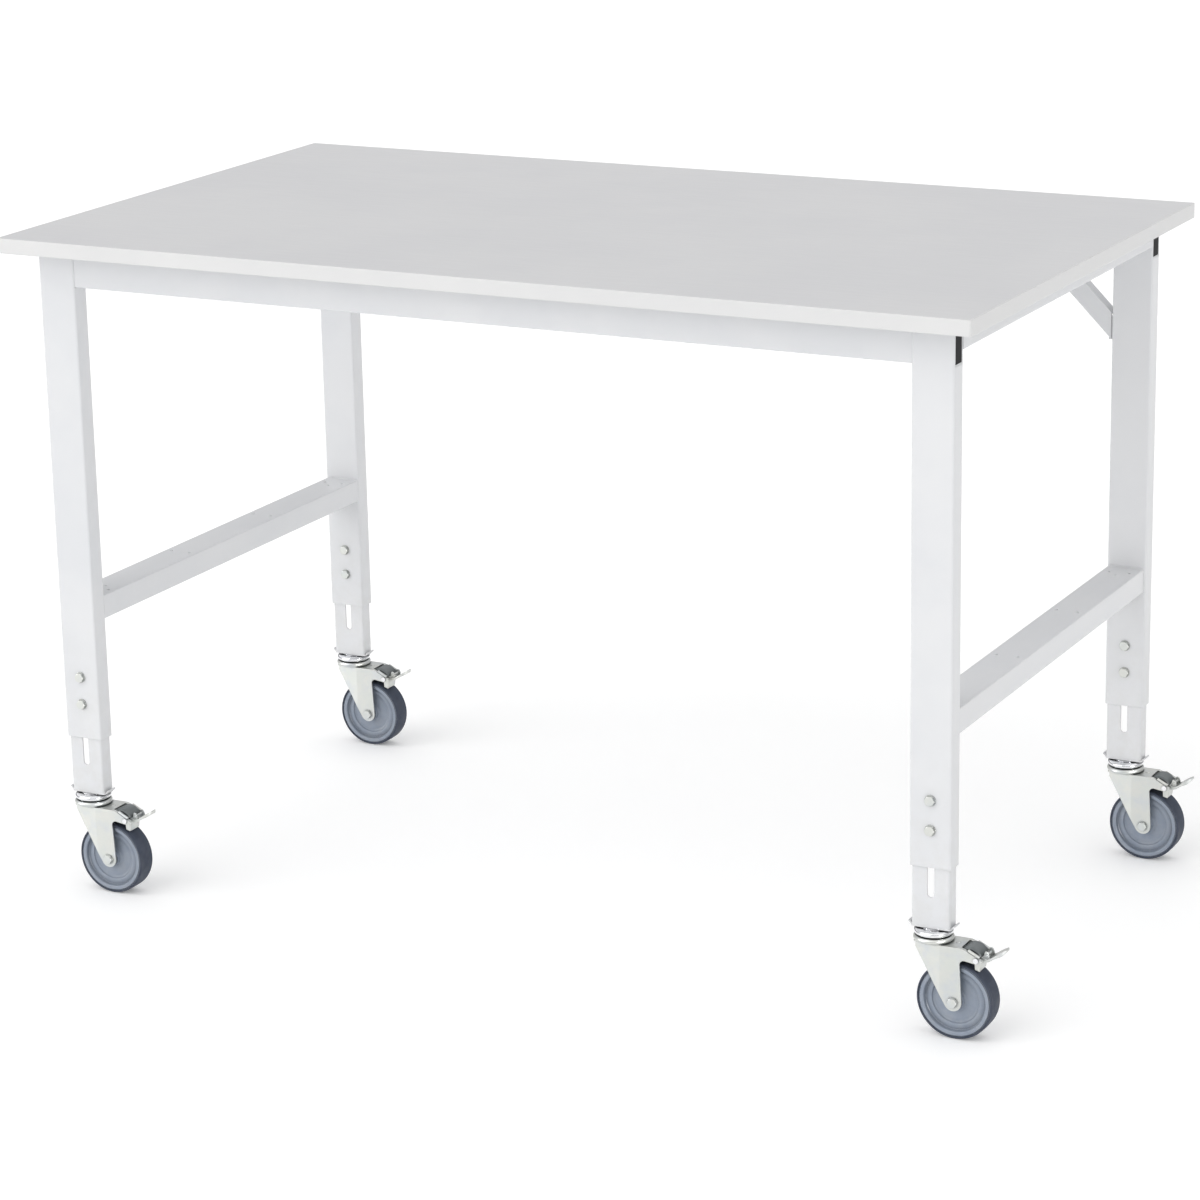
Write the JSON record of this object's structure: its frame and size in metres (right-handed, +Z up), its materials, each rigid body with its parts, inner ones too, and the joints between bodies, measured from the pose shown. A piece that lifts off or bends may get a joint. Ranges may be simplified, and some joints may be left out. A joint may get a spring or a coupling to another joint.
{
  "type": "mobile work table",
  "caption": "Height-adjustable work table: laminated top on a tubular steel frame with telescopic legs and braked swivel castors.",
  "frame": {"origin": "on the floor, under the middle of the worktop", "axes": "+X along the long side to the right, +Y from front to back, +Z up"},
  "size_m": [1.5375, 0.88, 1],
  "materials": {
    "laminate": "fine-textured melamine laminate",
    "edging": "satin plastic edge band",
    "powder_coat": "light grey powder coat",
    "black_plastic": "moulded",
    "grey_plastic": "moulded, satin",
    "zinc": "zinc plated",
    "chrome": "bright plated",
    "wheel_plastic": "moulded",
    "tread": "non-marking grey rubber"
  },
  "bodies": {
    "frame": {"worktop_board": "laminate", "worktop_edging": "edging", "rail_front": "powder_coat", "rail_back": "powder_coat", "rail_end_caps": "black_plastic", "side_rail_left": "powder_coat", "side_rail_right": "powder_coat", "crossbar_left": "powder_coat", "crossbar_right": "powder_coat", "brace_left": "powder_coat", "brace_right": "powder_coat", "outer_leg_fl": "powder_coat", "outer_leg_fr": "powder_coat", "outer_leg_bl": "powder_coat", "outer_leg_br": "powder_coat", "clamp_bolts": "zinc", "clamp_plates": "zinc", "brace_screws": "zinc", "worktop_screws": "zinc"},
    "leg_fl": {"inner_leg_fl": "powder_coat", "foot_plate_fl": "powder_coat", "castor_head_fl": "chrome"},
    "fork_fl": {"fork_fl": "zinc", "brake_cap_fl": "grey_plastic", "brake_pin_fl": "chrome", "axle_bolt_fl": "zinc"},
    "wheel_fl": {"wheel_core_fl": "wheel_plastic", "tyre_fl": "tread"},
    "lever_fl": {"brake_lever_fl": "zinc"},
    "leg_fr": {"inner_leg_fr": "powder_coat", "foot_plate_fr": "powder_coat", "castor_head_fr": "chrome"},
    "fork_fr": {"fork_fr": "zinc", "brake_cap_fr": "grey_plastic", "brake_pin_fr": "chrome", "axle_bolt_fr": "zinc"},
    "wheel_fr": {"wheel_core_fr": "wheel_plastic", "tyre_fr": "tread"},
    "lever_fr": {"brake_lever_fr": "zinc"},
    "leg_bl": {"inner_leg_bl": "powder_coat", "foot_plate_bl": "powder_coat", "castor_head_bl": "chrome"},
    "fork_bl": {"fork_bl": "zinc", "brake_cap_bl": "grey_plastic", "brake_pin_bl": "chrome", "axle_bolt_bl": "zinc"},
    "wheel_bl": {"wheel_core_bl": "wheel_plastic", "tyre_bl": "tread"},
    "lever_bl": {"brake_lever_bl": "zinc"},
    "leg_br": {"inner_leg_br": "powder_coat", "foot_plate_br": "powder_coat", "castor_head_br": "chrome"},
    "fork_br": {"fork_br": "zinc", "brake_cap_br": "grey_plastic", "brake_pin_br": "chrome", "axle_bolt_br": "zinc"},
    "wheel_br": {"wheel_core_br": "wheel_plastic", "tyre_br": "tread"},
    "lever_br": {"brake_lever_br": "zinc"}
  },
  "joints": [
    {"name": "height_fl", "type": "slide", "parent": "frame", "child": "leg_fl", "axis": [0, 0, 1], "range_m": [-0.15, 0.075]},
    {"name": "swivel_fl", "type": "hinge", "parent": "leg_fl", "child": "fork_fl", "pos_m": [-0.68, -0.38, 0.134], "axis": [0, 0, 1], "continuous": true},
    {"name": "roll_fl", "type": "hinge", "parent": "fork_fl", "child": "wheel_fl", "pos_m": [-0.644, -0.38, 0.055], "axis": [0, 1, 0], "continuous": true},
    {"name": "brake_fl", "type": "hinge", "parent": "fork_fl", "child": "lever_fl", "pos_m": [-0.611, -0.38, 0.1202], "axis": [0, 1, 0], "range_deg": [0, 15]},
    {"name": "height_fr", "type": "slide", "parent": "frame", "child": "leg_fr", "axis": [0, 0, 1], "range_m": [-0.15, 0.075]},
    {"name": "swivel_fr", "type": "hinge", "parent": "leg_fr", "child": "fork_fr", "pos_m": [0.68, -0.38, 0.134], "axis": [0, 0, 1], "continuous": true},
    {"name": "roll_fr", "type": "hinge", "parent": "fork_fr", "child": "wheel_fr", "pos_m": [0.716, -0.38, 0.055], "axis": [0, 1, 0], "continuous": true},
    {"name": "brake_fr", "type": "hinge", "parent": "fork_fr", "child": "lever_fr", "pos_m": [0.749, -0.38, 0.1202], "axis": [0, 1, 0], "range_deg": [0, 15]},
    {"name": "height_bl", "type": "slide", "parent": "frame", "child": "leg_bl", "axis": [0, 0, 1], "range_m": [-0.15, 0.075]},
    {"name": "swivel_bl", "type": "hinge", "parent": "leg_bl", "child": "fork_bl", "pos_m": [-0.68, 0.387, 0.134], "axis": [0, 0, 1], "continuous": true},
    {"name": "roll_bl", "type": "hinge", "parent": "fork_bl", "child": "wheel_bl", "pos_m": [-0.644, 0.387, 0.055], "axis": [0, 1, 0], "continuous": true},
    {"name": "brake_bl", "type": "hinge", "parent": "fork_bl", "child": "lever_bl", "pos_m": [-0.611, 0.387, 0.1202], "axis": [0, 1, 0], "range_deg": [0, 15]},
    {"name": "height_br", "type": "slide", "parent": "frame", "child": "leg_br", "axis": [0, 0, 1], "range_m": [-0.15, 0.075]},
    {"name": "swivel_br", "type": "hinge", "parent": "leg_br", "child": "fork_br", "pos_m": [0.68, 0.387, 0.134], "axis": [0, 0, 1], "continuous": true},
    {"name": "roll_br", "type": "hinge", "parent": "fork_br", "child": "wheel_br", "pos_m": [0.716, 0.387, 0.055], "axis": [0, 1, 0], "continuous": true},
    {"name": "brake_br", "type": "hinge", "parent": "fork_br", "child": "lever_br", "pos_m": [0.749, 0.387, 0.1202], "axis": [0, 1, 0], "range_deg": [0, 15]}
  ]
}
